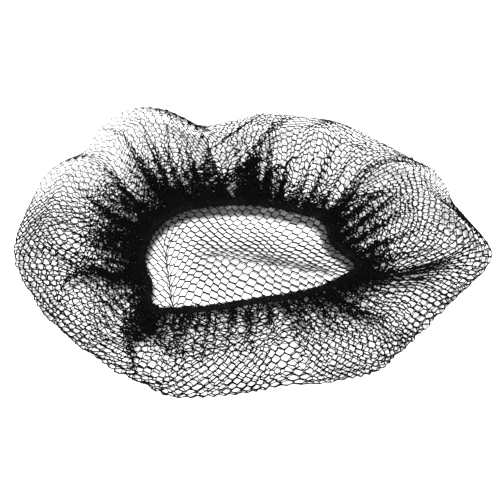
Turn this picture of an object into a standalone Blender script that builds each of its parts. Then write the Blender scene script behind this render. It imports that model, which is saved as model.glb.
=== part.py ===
"""Round hairnet of coarse honeycomb net on an elastic edge, lying on its crown with the mouth up.

Metres, +Z up, +Y to the back. The net is modelled as it is made: cut flat as a disc, pierced,
then gathered onto the elastic. The flat disc's polar coordinates (azimuth, radius) are carried
onto the gathered form: flat on the table, round a puffed outer fold, and back in to the elastic.
"""
import math

import bmesh
import bpy
import numpy as np
from mathutils.geometry import delaunay_2d_cdt

# Overall sizes of the net as it lies. The outer fold runs in from its edge by a share of its
# loft, and its roundness is 1 for a sharp crease and 2 for a round roll
NET_WIDTH = 0.300
PUFF_HEIGHT = 0.044
FOLD_RUN_SHARE = 0.65
FOLD_ROUNDNESS = 1.3
FLAT_CUT_DIAMETER = 0.508
WALL = 0.001

# The mouth, measured along the middle of the elastic
MOUTH_WIDTH = 0.129
MOUTH_DEPTH = 0.0787
MOUTH_HEIGHT = 0.034
MOUTH_SET_FORWARD = 0.0274
MOUTH_SET_LEFT = 0.0025

# The elastic and the hem of net that is rolled over it
ELASTIC_DIAMETER = 0.003
ELASTIC_SIDES_RESOLUTION = 2
ELASTIC_POINTS = 64
HEM_CLEARANCE = 0.0004
HEM_START_DEG = 0.0
HEM_END_DEG = 200.0
HEM_ROWS = 4

# Least radius of the middle of the hem's wall, from the middle of the elastic
HEM_SEAT = ELASTIC_DIAMETER / 2 + HEM_CLEARANCE + WALL / 2

# Openings of the honeycomb, drawn coarse: each stands for about forty real ones
GAP_WIDTH = 0.0255
BAR_WIDTH = 0.0105
GAP_SIDE_POINTS = 2

# Extra points along the outer fold's edge, so that the bars there bend where the fold does
EDGE_POINTS = 110
EDGE_MARGIN = 0.002

# Small gathers along the elastic. The band next to the elastic is left whole, because the real
# openings are pressed shut there. Start and fade are shares of the way up from the table
GATHER_PLEATS = 25
POINTS_PER_PLEAT = 4
UNEVEN_COLUMNS = ("waves", "share", "phase_deg")
UNEVEN_GATHERS = (
    (3, 0.35, 46),
    (5, 0.25, 120),
)
GATHER_DEPTH = 0.0045
HEM_GATHER_DEPTH = 0.0016
GATHER_START_SHARE = 0.62
GATHER_FADE_SHARE = 0.1
GATHER_BAND = 0.022
GATHER_ROWS = 3

# Sampling of a radial profile
FOLD_STEPS = 25
TOP_STEPS = 32

# Outer fold, one row for each puff or notch: azimuth in degrees, reach as a share of half the
# net's width, loft as a share of the puff height, height of the fold's edge as a share of the loft
PUFF_COLUMNS = ("azimuth", "reach", "loft", "edge")
PUFFS = (
    (2, 0.970, 0.55, 0.35),
    (10, 0.897, 0.66, 0.40),
    (24, 0.860, 0.80, 0.55),
    (31, 0.797, 0.86, 0.60),
    (42, 0.739, 0.91, 0.65),
    (60, 0.708, 0.94, 0.65),
    (72, 0.668, 0.94, 0.65),
    (85, 0.648, 0.94, 0.65),
    (98, 0.614, 0.91, 0.65),
    (112, 0.638, 0.93, 0.65),
    (122, 0.806, 1.00, 0.68),
    (131, 0.864, 1.00, 0.68),
    (139, 0.887, 0.95, 0.66),
    (148, 0.858, 0.84, 0.62),
    (156, 0.939, 0.80, 0.56),
    (170, 0.962, 0.77, 0.48),
    (186, 0.984, 0.73, 0.38),
    (200, 0.923, 0.64, 0.30),
    (219, 0.847, 0.57, 0.25),
    (238, 0.808, 0.55, 0.22),
    (248, 0.803, 0.55, 0.22),
    (262, 0.745, 0.55, 0.22),
    (276, 0.708, 0.55, 0.22),
    (295, 0.742, 0.55, 0.22),
    (308, 0.788, 0.55, 0.22),
    (316, 0.787, 0.55, 0.24),
    (331, 0.819, 0.56, 0.26),
    (344, 0.902, 0.54, 0.30),
    (356, 1.012, 0.48, 0.35),
)

# The elastic's loop: azimuth of the net that is sewn there, across and back as shares of half the
# mouth's width and depth, height as a share of the mouth's height
LOOP_COLUMNS = ("azimuth", "across", "back", "height")
LOOP = (
    (2, 1.000, -0.060, 0.80),
    (16, 0.814, 0.250, 0.86),
    (31, 0.745, 0.645, 0.91),
    (60, 0.392, 0.880, 0.97),
    (97, -0.060, 1.000, 1.00),
    (122, -0.432, 0.940, 1.00),
    (143, -0.699, 0.820, 0.97),
    (162, -0.900, 0.500, 0.94),
    (185, -1.000, -0.110, 0.89),
    (205, -0.925, -0.490, 0.83),
    (236, -0.812, -1.000, 0.77),
    (254, -0.380, -0.945, 0.74),
    (272, 0.039, -0.815, 0.74),
    (300, 0.505, -0.670, 0.74),
    (330, 0.845, -0.440, 0.77),
)

# Deep folds between the puffs: azimuth at the outer fold, its drift on the way to the elastic and
# half width in degrees, depth as a share of the loft
FOLD_COLUMNS = ("azimuth", "drift", "half_width", "depth")
FOLDS = (
    (14, 22, 4, 0.16),
    (58, 30, 5, 0.30),
    (68, 54, 3, 0.16),
    (88, 0, 2.5, 0.10),
    (118, 9, 8, 0.34),
    (132, 0, 2.5, 0.08),
    (140, 3, 3, 0.16),
    (149, 2, 4, 0.34),
    (160, 8, 4, 0.14),
    (185, 16, 3, 0.18),
    (217, -27, 3, 0.20),
    (244, -18, 6, 0.28),
    (296, -4, 5, 0.14),
    (318, -4, 6, 0.18),
    (353, 13, 4, 0.20),
)

# Creases of the crown on the table: both ends as shares of the net's width, height and half width
CREASE_COLUMNS = ("x_start", "y_start", "x_end", "y_end")
CREASE_HEIGHT = 0.005
CREASE_HALF_WIDTH = 0.013
CREASE_TAPER_SHARE = 0.25
CREASES = (
    (-0.184, 0.090, -0.169, -0.165),
    (-0.130, 0.004, 0.225, -0.062),
)

NET_COLOUR = (0.012, 0.012, 0.014, 1.0)
NET_ROUGHNESS = 0.6
ELASTIC_COLOUR = (0.016, 0.014, 0.013, 1.0)
ELASTIC_ROUGHNESS = 0.75


def clear_scene():
    for obj in list(bpy.data.objects):
        bpy.data.objects.remove(obj, do_unlink=True)


def smooth_step(value):
    value = np.clip(value, 0.0, 1.0)
    return value * value * (3.0 - 2.0 * value)


def full_turn(count):
    """This many azimuths, evenly round a full turn."""
    return np.arange(count) * 2 * math.pi / count


def around(table, columns, name, azimuth):
    """A table's column as a smooth closed curve of azimuth in radians (cubic through the rows)."""
    rows = np.array(table, float)
    knots = np.radians(rows[:, 0])
    values = rows[:, columns.index(name)]
    turn = 2.0 * math.pi
    knots = np.concatenate([knots - turn, knots, knots + turn])
    values = np.tile(values, 3)
    slopes = np.gradient(values, knots)
    azimuth = np.mod(azimuth, turn)
    right = np.searchsorted(knots, azimuth, side="right")
    left = right - 1
    span = knots[right] - knots[left]
    t = (azimuth - knots[left]) / span
    start = values[left] * (1 + 2 * t) * (1 - t) ** 2 + slopes[left] * span * t * (1 - t) ** 2
    end = values[right] * t * t * (3 - 2 * t) + slopes[right] * span * t * t * (t - 1)
    return start + end


def elastic_line(azimuth):
    """Points along the middle of the elastic, for net of this azimuth."""
    x = around(LOOP, LOOP_COLUMNS, "across", azimuth) * MOUTH_WIDTH / 2 - MOUTH_SET_LEFT
    y = around(LOOP, LOOP_COLUMNS, "back", azimuth) * MOUTH_DEPTH / 2 - MOUTH_SET_FORWARD
    z = around(LOOP, LOOP_COLUMNS, "height", azimuth) * MOUTH_HEIGHT
    return np.stack([x, y, z], axis=-1)


def outward_of_elastic(azimuth):
    """Level unit vectors that point out of the elastic's loop."""
    step = math.radians(0.5)
    along = elastic_line(azimuth + step) - elastic_line(azimuth - step)
    outward = np.stack([along[..., 1], -along[..., 0], np.zeros_like(azimuth)], axis=-1)
    return outward / np.linalg.norm(outward, axis=-1, keepdims=True)


def pleat_wave(azimuth):
    """The small gathers, 0 in a valley and 1 on a crest, a little uneven as hand gathered ones are."""
    uneven = np.zeros_like(azimuth)
    for waves, share, phase in UNEVEN_GATHERS:
        uneven += share * np.sin(waves * azimuth + math.radians(phase))
    return 0.5 + 0.5 * np.cos(GATHER_PLEATS * azimuth + uneven)


def hem_radius(azimuth):
    """Middle of the hem's wall, from the middle of the elastic."""
    return HEM_SEAT + HEM_GATHER_DEPTH * pleat_wave(azimuth)


def hem_point(azimuth, angle):
    outward = outward_of_elastic(azimuth)
    up = np.array([0.0, 0.0, 1.0])
    turn = np.cos(angle)[..., None] * outward + np.sin(angle)[..., None] * up
    return elastic_line(azimuth) + hem_radius(azimuth)[..., None] * turn


def loft(azimuth):
    return around(PUFFS, PUFF_COLUMNS, "loft", azimuth) * PUFF_HEIGHT


def table_reach(azimuth):
    """How far the crown lies flat on the table before the outer fold starts."""
    reach = around(PUFFS, PUFF_COLUMNS, "reach", azimuth) * NET_WIDTH / 2
    return reach - loft(azimuth) * FOLD_RUN_SHARE


def fold_dip(azimuth, share):
    """Part of the loft that the deep folds take away, by share of the way in to the elastic."""
    dip = np.zeros_like(azimuth * share)
    for centre, drift, half_width, depth in FOLDS:
        apart = np.angle(np.exp(1j * (azimuth - np.radians(centre + drift * share))))
        dip += depth * np.exp(-((apart / math.radians(half_width)) ** 2))
    return dip


def raised_path(azimuth):
    """The profile above the table, from the outer fold's foot to the hem: points by step."""
    direction = np.stack([np.cos(azimuth), np.sin(azimuth)], axis=-1)
    top_height = loft(azimuth)[..., None]
    edge_height = around(PUFFS, PUFF_COLUMNS, "edge", azimuth)[..., None] * top_height
    foot = table_reach(azimuth)[..., None]
    rise = np.linspace(-1.0, 1.0, FOLD_STEPS)
    out = foot + FOLD_RUN_SHARE * top_height * (1 - np.abs(rise) ** FOLD_ROUNDNESS)
    height = edge_height + rise * np.where(rise < 0, edge_height, top_height - edge_height)
    fold = np.concatenate([out[..., None] * direction[:, None, :], height[..., None]], axis=-1)

    end = hem_point(azimuth, np.full_like(azimuth, math.radians(HEM_START_DEG)))
    share = np.linspace(0.0, 1.0, TOP_STEPS + 1)[1:]
    across = share[None, :, None]
    top = fold[:, -1:, :] * (1 - across) + end[:, None, :] * across
    lift = smooth_step(share)[None, :]
    top[..., 2] = fold[:, -1:, 2] * (1 - lift) + end[:, None, 2] * lift
    dip = fold_dip(azimuth[:, None], share[None, :])
    top[..., 2] -= dip * np.sin(math.pi * share) * loft(azimuth)[:, None]
    return np.concatenate([fold, top], axis=1)


def crease_height(x, y):
    """Height of the crown's creases over the table, exactly zero away from them."""
    height = np.zeros_like(x)
    for x_start, y_start, x_end, y_end in np.array(CREASES) * NET_WIDTH:
        along = np.array([x_end - x_start, y_end - y_start])
        length = np.linalg.norm(along)
        along /= length
        share = ((x - x_start) * along[0] + (y - y_start) * along[1]) / length
        aside = np.abs((y - y_start) * along[0] - (x - x_start) * along[1])
        taper = smooth_step(share / CREASE_TAPER_SHARE) * smooth_step((1 - share) / CREASE_TAPER_SHARE)
        height = np.maximum(height, taper * smooth_step(1 - aside / CREASE_HALF_WIDTH))
    return height * CREASE_HEIGHT


def hem_width():
    """Length of the strip of net that is rolled over the elastic."""
    return HEM_SEAT * math.radians(HEM_END_DEG - HEM_START_DEG)


def hem_line():
    """Radius of the flat cut at which the hem starts."""
    return FLAT_CUT_DIAMETER / 2 - hem_width()


def measured_path(azimuth):
    """The raised profile, its length so far at each step, and how much net there is for its length."""
    path = raised_path(azimuth)
    steps = np.linalg.norm(np.diff(path, axis=1), axis=-1)
    length = np.concatenate([np.zeros((len(path), 1)), np.cumsum(steps, axis=1)], axis=1)
    spare = np.maximum((hem_line() - table_reach(azimuth)) / length[:, -1], 1.0)
    return path, length, spare


def edge_line(azimuth):
    """Radius in the flat cut of the outer fold's edge."""
    _, length, spare = measured_path(azimuth)
    way = length[:, FOLD_STEPS // 2] / length[:, -1]
    share = 1 - (1 - way) ** (1 / spare)
    foot = table_reach(azimuth)
    return foot + share * (hem_line() - foot)


def raised(azimuth, share):
    """Net between the outer fold and the hem, for shares of its radial length in the flat cut."""
    path, length, spare = measured_path(azimuth)
    way = 1 - (1 - share) ** spare
    points = np.empty((len(azimuth), 3))
    for i in range(len(azimuth)):
        for axis in range(3):
            points[i, axis] = np.interp(way[i] * length[i, -1], length[i], path[i, :, axis])
    begun = smooth_step((way - GATHER_START_SHARE) / (1 - GATHER_START_SHARE))
    points[:, 2] += GATHER_DEPTH * pleat_wave(azimuth) * begun * smooth_step((1 - way) / GATHER_FADE_SHARE)
    return points


def gathered(azimuth, radius):
    """Where points of the flat cut lie once the net is gathered: the middle of the wall."""
    foot = table_reach(azimuth)
    x = radius * np.cos(azimuth)
    y = radius * np.sin(azimuth)
    on_table = np.stack([x, y, crease_height(x, y) + WALL / 2], axis=-1)

    share = np.clip((radius - foot) / (hem_line() - foot), 0.0, 1.0)
    standing = raised(azimuth, share)
    standing[:, 2] += WALL / 2 * (1 - share)

    hem_share = np.clip((radius - hem_line()) / hem_width(), 0.0, 1.0)
    turn = math.radians(HEM_START_DEG) + hem_share * math.radians(HEM_END_DEG - HEM_START_DEG)
    points = np.where((radius < foot)[:, None], on_table, standing)
    return np.where((radius > hem_line())[:, None], hem_point(azimuth, turn), points)


def hexagon(centre, width, side_points):
    """Corners and side points of a hexagon of this width across its flats, a corner at the back."""
    corner = width / math.sqrt(3)
    bearings = math.pi / 6 + np.arange(7) * math.pi / 3
    corners = corner * np.stack([np.cos(bearings), np.sin(bearings)], axis=-1)
    shares = np.arange(side_points)[:, None] / side_points
    sides = [start * (1 - shares) + end * shares for start, end in zip(corners[:-1], corners[1:])]
    return centre + np.concatenate(sides)


def gap_centres(limit):
    """Middles of the gaps inside this radius of the flat cut, with a crossing of bars at its own middle."""
    pitch = GAP_WIDTH + BAR_WIDTH
    row_height = pitch * math.sqrt(3) / 2
    rows = int(limit / row_height) + 2
    centres = []
    for row in range(-rows, rows + 1):
        for column in range(-rows, rows + 1):
            centre = np.array([(column + row % 2 / 2) * pitch, row * row_height + pitch / math.sqrt(3)])
            if np.linalg.norm(centre) < limit - GAP_WIDTH / math.sqrt(3):
                centres.append(centre)
    return np.array(centres)


def in_a_gap(middles, centres, width):
    """Which of these points of the flat cut lie inside a gap of this width."""
    offsets = middles[:, None, :] - centres[None, :, :]
    nearest = np.linalg.norm(offsets, axis=-1).argmin(axis=1)
    offset = offsets[np.arange(len(middles)), nearest]
    bearing = np.arctan2(offset[:, 1], offset[:, 0])
    from_flat = np.mod(bearing + math.pi / 6, math.pi / 3) - math.pi / 6
    return np.linalg.norm(offset, axis=1) * np.cos(from_flat) < width / 2


def flat_cut():
    """The flat disc with its gaps, as points and triangles in the cutting plane."""
    turns = full_turn(GATHER_PLEATS * POINTS_PER_PLEAT)
    ring = np.stack([np.cos(turns), np.sin(turns)], axis=-1)
    band_edge = hem_line() - GATHER_BAND
    radii = list(np.linspace(band_edge, hem_line(), GATHER_ROWS))
    radii += list(np.linspace(hem_line(), FLAT_CUT_DIAMETER / 2, HEM_ROWS + 1)[1:])
    centres = gap_centres(band_edge - BAR_WIDTH / 4)
    loops = [ring * radius for radius in radii]
    loops += [hexagon(centre, GAP_WIDTH, GAP_SIDE_POINTS) for centre in centres]

    points = []
    edges = []
    for loop in loops:
        first = len(points)
        points.extend(loop)
        edges.extend((first + i, first + (i + 1) % len(loop)) for i in range(len(loop)))
    crossings = np.concatenate([hexagon(centre, GAP_WIDTH + BAR_WIDTH, 1) for centre in centres])
    points.extend(np.unique(np.round(crossings, 6), axis=0))
    turns = full_turn(EDGE_POINTS)
    edge = np.stack([np.cos(turns), np.sin(turns)], axis=-1) * edge_line(turns)[:, None]
    points.extend(edge[~in_a_gap(edge, centres, GAP_WIDTH + 2 * EDGE_MARGIN)])

    found, _, faces, _, _, _ = delaunay_2d_cdt([tuple(point) for point in points], edges, [], 0, 1e-5)
    found = np.array(found, float)
    middles = np.array([found[list(face)].mean(axis=0) for face in faces])
    hollow = in_a_gap(middles, centres, GAP_WIDTH)
    return found, [tuple(face) for face, gap in zip(faces, hollow) if not gap]


def make_material(name, colour, roughness):
    material = bpy.data.materials.new(name)
    material.use_nodes = True
    shader = material.node_tree.nodes["Principled BSDF"]
    shader.inputs["Base Color"].default_value = colour
    shader.inputs["Roughness"].default_value = roughness
    shader.inputs["Metallic"].default_value = 0.0
    return material


def add_net(collection):
    """The pierced disc, gathered and given its thickness. Returns the shift that centres it."""
    flat, faces = flat_cut()
    azimuth = np.arctan2(flat[:, 1], flat[:, 0])
    radius = np.minimum(np.linalg.norm(flat, axis=1), FLAT_CUT_DIAMETER / 2)
    points = gathered(azimuth, radius)
    middle = (points[:, :2].min(axis=0) + points[:, :2].max(axis=0)) / 2
    shift = np.array([-middle[0], -middle[1], 0.0])
    points += shift

    mesh = bpy.data.meshes.new("net")
    mesh.from_pydata([tuple(p) for p in points], [], faces)
    shell = bmesh.new()
    shell.from_mesh(mesh)
    loose = [vertex for vertex in shell.verts if not vertex.link_faces]
    bmesh.ops.delete(shell, geom=loose, context="VERTS")
    bmesh.ops.recalc_face_normals(shell, faces=shell.faces)
    shell.to_mesh(mesh)
    shell.free()
    net = bpy.data.objects.new("net", mesh)
    collection.objects.link(net)
    wall = net.modifiers.new("wall", "SOLIDIFY")
    wall.thickness = WALL
    wall.offset = 0.0
    mesh.materials.append(make_material("black honeycomb net", NET_COLOUR, NET_ROUGHNESS))
    return shift


def add_elastic(collection, shift):
    """The covered elastic, one closed loop inside the hem."""
    line = elastic_line(full_turn(ELASTIC_POINTS)) + shift
    curve = bpy.data.curves.new("elastic_band", "CURVE")
    curve.dimensions = "3D"
    curve.bevel_depth = ELASTIC_DIAMETER / 2
    curve.bevel_resolution = ELASTIC_SIDES_RESOLUTION
    spline = curve.splines.new("POLY")
    spline.points.add(ELASTIC_POINTS - 1)
    for point, place in zip(spline.points, line):
        point.co = (*place, 1.0)
    spline.use_cyclic_u = True
    elastic = bpy.data.objects.new("elastic_band", curve)
    collection.objects.link(elastic)
    curve.materials.append(make_material("black covered elastic", ELASTIC_COLOUR, ELASTIC_ROUGHNESS))


def main():
    clear_scene()
    collection = bpy.data.collections.new("hairnet")
    bpy.context.scene.collection.children.link(collection)
    shift = add_net(collection)
    add_elastic(collection, shift)


main()
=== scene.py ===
"""Black honeycomb hairnet lying on its crown with the mouth up: knitted net, elastic edge and stage.

The net is laid out flat as a lattice of cells, strand by strand, and carried onto the gathered form
that the frame has. Then it settles, so that stretched strands take back their own length.
"""

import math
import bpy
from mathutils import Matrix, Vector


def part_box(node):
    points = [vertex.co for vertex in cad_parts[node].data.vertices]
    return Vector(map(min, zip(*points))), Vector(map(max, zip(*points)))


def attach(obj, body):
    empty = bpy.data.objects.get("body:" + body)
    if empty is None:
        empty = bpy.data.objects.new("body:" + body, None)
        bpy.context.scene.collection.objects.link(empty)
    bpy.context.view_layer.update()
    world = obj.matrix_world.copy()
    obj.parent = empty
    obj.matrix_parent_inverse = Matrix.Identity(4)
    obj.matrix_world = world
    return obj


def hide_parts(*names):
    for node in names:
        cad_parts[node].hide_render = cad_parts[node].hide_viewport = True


bl_info = {
    "name": "Honeycomb hairnet",
    "version": (1, 0, 0),
    "blender": (4, 5, 0),
    "location": "3D View > Sidebar > Hairnet",
    "description": "Knits a gathered hairnet strand by strand over its frame",
    "category": "Add Mesh",
}

import bpy
import numpy as np

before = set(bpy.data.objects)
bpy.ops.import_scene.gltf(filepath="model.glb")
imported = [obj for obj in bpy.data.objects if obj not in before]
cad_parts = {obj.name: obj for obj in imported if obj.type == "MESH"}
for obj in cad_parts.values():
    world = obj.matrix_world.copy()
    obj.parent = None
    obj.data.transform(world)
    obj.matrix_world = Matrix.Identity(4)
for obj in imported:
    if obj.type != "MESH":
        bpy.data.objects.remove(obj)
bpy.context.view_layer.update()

# Form of the gathered net, as the frame was built
NET_WIDTH = 0.300
PUFF_HEIGHT = 0.044
FOLD_RUN_SHARE = 0.65
FOLD_ROUNDNESS = 1.3
MOUTH_WIDTH = 0.129
MOUTH_DEPTH = 0.0787
MOUTH_HEIGHT = 0.034
MOUTH_SET_FORWARD = 0.0274
MOUTH_SET_LEFT = 0.0025
ELASTIC_DIAMETER = 0.003

# Outer fold: azimuth in degrees, reach as a share of half the net's width, loft as a share of
# the puff height, height of the fold's edge as a share of the loft
PUFF_COLUMNS = ("azimuth", "reach", "loft", "edge")
PUFFS = (
    (2, 0.970, 0.55, 0.35),
    (10, 0.897, 0.66, 0.40),
    (24, 0.860, 0.80, 0.55),
    (31, 0.797, 0.86, 0.60),
    (42, 0.739, 0.91, 0.65),
    (60, 0.708, 0.94, 0.65),
    (72, 0.668, 0.94, 0.65),
    (85, 0.648, 0.94, 0.65),
    (98, 0.614, 0.91, 0.65),
    (112, 0.638, 0.93, 0.65),
    (122, 0.806, 1.00, 0.68),
    (131, 0.864, 1.00, 0.68),
    (139, 0.887, 0.95, 0.66),
    (148, 0.858, 0.84, 0.62),
    (156, 0.939, 0.80, 0.56),
    (170, 0.962, 0.77, 0.48),
    (186, 0.984, 0.73, 0.38),
    (200, 0.923, 0.64, 0.30),
    (219, 0.847, 0.57, 0.25),
    (238, 0.808, 0.55, 0.22),
    (248, 0.803, 0.55, 0.22),
    (262, 0.745, 0.55, 0.22),
    (276, 0.708, 0.55, 0.22),
    (295, 0.742, 0.55, 0.22),
    (308, 0.788, 0.55, 0.22),
    (316, 0.787, 0.55, 0.24),
    (331, 0.819, 0.56, 0.26),
    (344, 0.902, 0.54, 0.30),
    (356, 1.012, 0.48, 0.35),
)

# The elastic's loop: azimuth of the net that is sewn there, across and back as shares of half the
# mouth's width and depth, height as a share of the mouth's height
LOOP_COLUMNS = ("azimuth", "across", "back", "height")
LOOP = (
    (2, 1.000, -0.060, 0.80),
    (16, 0.814, 0.250, 0.86),
    (31, 0.745, 0.645, 0.91),
    (60, 0.392, 0.880, 0.97),
    (97, -0.060, 1.000, 1.00),
    (122, -0.432, 0.940, 1.00),
    (143, -0.699, 0.820, 0.97),
    (162, -0.900, 0.500, 0.94),
    (185, -1.000, -0.110, 0.89),
    (205, -0.925, -0.490, 0.83),
    (236, -0.812, -1.000, 0.77),
    (254, -0.380, -0.945, 0.74),
    (272, 0.039, -0.815, 0.74),
    (300, 0.505, -0.670, 0.74),
    (330, 0.845, -0.440, 0.77),
)

# How the net is bunched at the elastic: azimuth in degrees, net over the shortest way from the
# outer fold to the elastic, net over way outside the band, and width in millimetres of the band
# that takes up the rest
BUNCH_COLUMNS = ("azimuth", "spare", "even", "band")
BUNCH = (
    (0, 1.62, 1.18, 22),
    (9, 1.86, 1.40, 34),
    (22, 1.62, 1.12, 30),
    (41, 1.26, 1.00, 16),
    (57, 1.22, 1.00, 12),
    (72, 1.62, 1.10, 28),
    (92, 1.66, 1.20, 28),
    (120, 1.88, 1.15, 38),
    (150, 2.05, 1.00, 46),
    (162, 2.05, 1.00, 40),
    (176, 1.80, 1.00, 28),
    (190, 1.80, 1.05, 28),
    (212, 1.85, 1.05, 30),
    (228, 1.95, 1.00, 32),
    (240, 1.70, 1.00, 26),
    (256, 1.60, 1.15, 24),
    (280, 1.55, 1.18, 24),
    (300, 1.55, 1.18, 24),
    (313, 1.60, 1.15, 24),
    (335, 1.60, 1.05, 22),
)

# Share of the way over which the surplus outside the band sets in
EVEN_RISE = 0.2

# Folds that run from the outer edge to the elastic, in the order of their azimuths: azimuth at the
# edge, its drift on the way in and half width in degrees, depth as a share of the loft, share of
# the nearby gather that the fold takes up by lying double, and share of the way in where it starts
FOLDS = (
    (13, -4, 3, 0.03, 0.0, 0.30),
    (22, 11, 3, 0.14, 0.6, 0.10),
    (46, 4, 3, 0.05, 0.2, 0.45),
    (67, 21, 4, 0.24, 0.7, 0.05),
    (84, 29, 4, 0.24, 0.7, 0.05),
    (104, 16, 3, 0.06, 0.1, 0.35),
    (119, 10, 7, 0.30, 0.4, 0.00),
    (132, 3, 2.5, 0.08, 0.3, 0.30),
    (140, 3, 3, 0.16, 0.6, 0.10),
    (149.5, 2, 4, 0.34, 0.5, 0.00),
    (161, 4, 4, 0.10, 0.3, 0.30),
    (173, 2, 3, 0.06, 0.2, 0.40),
    (187, 8, 2.5, 0.14, 0.4, 0.05),
    (208, -8, 2.5, 0.18, 0.6, 0.15),
    (241, -9, 6, 0.28, 1.5, 0.00),
    (257, -6, 4, 0.05, 0.1, 0.40),
    (272, -2, 4, 0.04, 0.1, 0.45),
    (286, -2, 4, 0.04, 0.1, 0.45),
    (300, 0, 5, 0.06, 0.1, 0.45),
    (317, -2, 6, 0.12, 0.2, 0.40),
    (335, 2, 4, 0.03, 0.0, 0.40),
    (355, 8, 4, 0.03, 0.0, 0.05),
)

# Shares of the way over which folds drift and grow, most gather that can lie double in them, the
# height of their lip in metres and the gather beyond 1 at which it is full, and how far the outer
# fold stands out of the frame's in metres
FOLD_DRIFT_START = 0.25
FOLD_DRIFT_RUN = 0.45
FOLD_GROWTH = 0.25
MOST_DOUBLED = 1.8
FOLD_LIP = 0.0015
FULL_LIP = 0.3
EDGE_EASE = 0.0014

# Where the net is spread out round the mouth: azimuth in degrees, spread as a share and half width
# in degrees. Then the share of the way over which the spread starts
SPREADS = (
    (280, 0.28, 42),
    (350, 0.28, 32),
    (54, 0.45, 19),
)
SPREAD_START = 0.30

# Ridges of the crown: both ends as shares of the net's width, then in metres the crest height,
# width of the slopes behind and in front, and net drawn up to the crest from behind
RIDGES = (
    (-0.155, -0.022, 0.255, -0.090, 0.0058, 0.042, 0.040, 0.011),
)

# Rounding of the crest in metres, share of a ridge's length over which each end fades, and share of
# the crown's radius inside its edge over which ridges and creases fade
RIDGE_ROUNDING = 0.003
RIDGE_TAPER = 0.25
CROWN_MARGIN = 0.3

# Creases of the crown into which the net is drawn: both ends as shares of the net's width, then in
# metres the pull towards the front, net drawn in from each side, half width of the pinch, and the
# push back and height of the low fold that lies along its right-hand side
CREASES = (
    (-0.203, 0.150, -0.154, -0.175, 0.014, 0.0045, 0.0040, 0.003, 0.001),
)

# Share of a crease's length over which each end fades, and in metres how far aside the pull reaches
# and how far aside the low fold is highest
CREASE_TAPER = 0.25
PULL_RUN = 0.012
FOLD_ASIDE = 0.018

# Gathers beside the elastic: number round it, height and sideways lean in metres, and the shares
# of the way from outer fold to elastic over which they grow and fade
GATHERS = (
    (13, 0.0018, 0.0010, 0.10, 0.60, 0.20),
    (29, 0.0015, 0.0009, 0.35, 0.80, 0.12),
    (61, 0.0018, 0.0016, 0.45, 0.85, 0.06),
    (127, 0.0012, 0.0016, 0.45, 0.80, 0.04),
)

# Waves that make the gathers uneven: how many times round the net, and how strongly they shift and
# swell the gathers
UNEVEN_TURNS = range(2, 9)
UNEVEN_SHIFT = 0.9
UNEVEN_SWELL = 0.25

# In metres, how far crossings of the bunched net are pushed about, and the most that a slack strand
# bows out of its line, on the raised net and on the crown
CRUMPLE = 0.0017
MOST_BOW = 0.0016
CROWN_BOW = 0.0003

# Thickness of a strand at its start, middle and end, as shares of its own: the knots are thicker
STRAND_SWELL = (1.15, 0.92, 1.15)

# Shares taken off the thickness of bunched strands, which are pulled tight, and of strands at the
# back edge, which the bright floor behind them outshines. Then the share of the net where the edge
# lies, its half width, and from where and over how far behind the middle it sets in, as shares of
# the net's width
BUNCH_THINNING = 0.20
EDGE_THINNING = 0.55
EDGE_SHARE = 0.12
EDGE_RUN = 0.20
BACK_START = 0.0325
BACK_RUN = 0.13

# Settling: share of its stretch or slack that a strand takes back at each end in a round, how much
# further each crossing goes than its strands ask, and the shares of the net beyond which crossings
# are held, in the crown and at the hem
STRETCH_PULL = 0.5
SLACK_PUSH = 0.02
EAGERNESS = 1.3
HELD_IN_CROWN = -0.3
HELD_AT_HEM = 0.97

# Slow drift of the knitting in the flat net: in metres how far and over what length, the shortest
# and longest wave as shares of that length, and how many waves
DRIFT = 0.0012
DRIFT_LENGTH = 0.030
DRIFT_SPAN = (0.7, 1.6)
DRIFT_WAVES = 8

# Hem: net turned round the elastic and laid back under itself. Its distance from the elastic, the
# turn, the strip of flat net laid back, the width that the strip comes to, and how far under the
# net it lies, and the share of the net from which strands belong to the hem
HEM_CLEARANCE = 0.0006
HEM_TURN_DEG = 270.0
HEM_STRIP = 0.016
HEM_STRIP_WIDTH = 0.010
HEM_DROP = 0.0018
HEM_SHARE = 0.99

# Winding of the elastic: points in a turn, sides of the yarn, and how far its middle stands out of
# the core as a share of its diameter
TURN_POINTS = 9
YARN_SIDES = 5
YARN_SEAT = 0.3

# Fuzz of the elastic: angles in degrees from outwards over the top between which loops stand, their
# length along the elastic in metres with its least and most share, their twist round it in radians,
# the square root of the lowest loop's share of the height, points and sides of a loop, and the
# power that makes its arch flat-topped
FUZZ_ANGLES = (20, 250)
FUZZ_REACH = 0.0028
FUZZ_REACH_SPAN = (0.3, 1.2)
FUZZ_TWIST = 0.5
FUZZ_LEAST_ROOT = 0.2
FUZZ_POINTS = 6
FUZZ_SIDES = 3
FUZZ_ARCH = 0.7

# Pieces of the raised net, each over an equal part of the turn, from the right round over the back
SIDES = ("net_right", "net_back_right", "net_back_left", "net_left", "net_front_left", "net_front_right")

# Steps along the outer fold and from there to the elastic, samples round the loop for its length,
# for its box and for the hem, degrees over which the hem's radius is smoothed, samples along the
# way in, degrees to each side for directions and for the gather, and the seed of all random draws
FOLD_STEPS = 25
TOP_STEPS = 32
LENGTH_SAMPLES = 1441
BOX_SAMPLES = 720
HEM_SAMPLES = 361
HEM_SMOOTHING = 19
WAY_SAMPLES = 61
DIRECTION_DEG = 0.5
GATHER_DEG = 1.0
SEED = 7

# Stands in for nothing where something is divided by a length
TINY = 1e-9

# Point that the camera looks at, from the middle of the elastic, and side of the floor, in metres
AIM = (0.0001, 0.0202, -0.0146)
FLOOR_SIZE = 16.0


def linear(colour):
    """An sRGB hex colour as linear values with full alpha."""
    channels = [int(colour[i:i + 2], 16) / 255 for i in (1, 3, 5)]
    values = [c / 12.92 if c <= 0.04045 else ((c + 0.055) / 1.055) ** 2.4 for c in channels]
    return (*values, 1.0)


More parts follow.
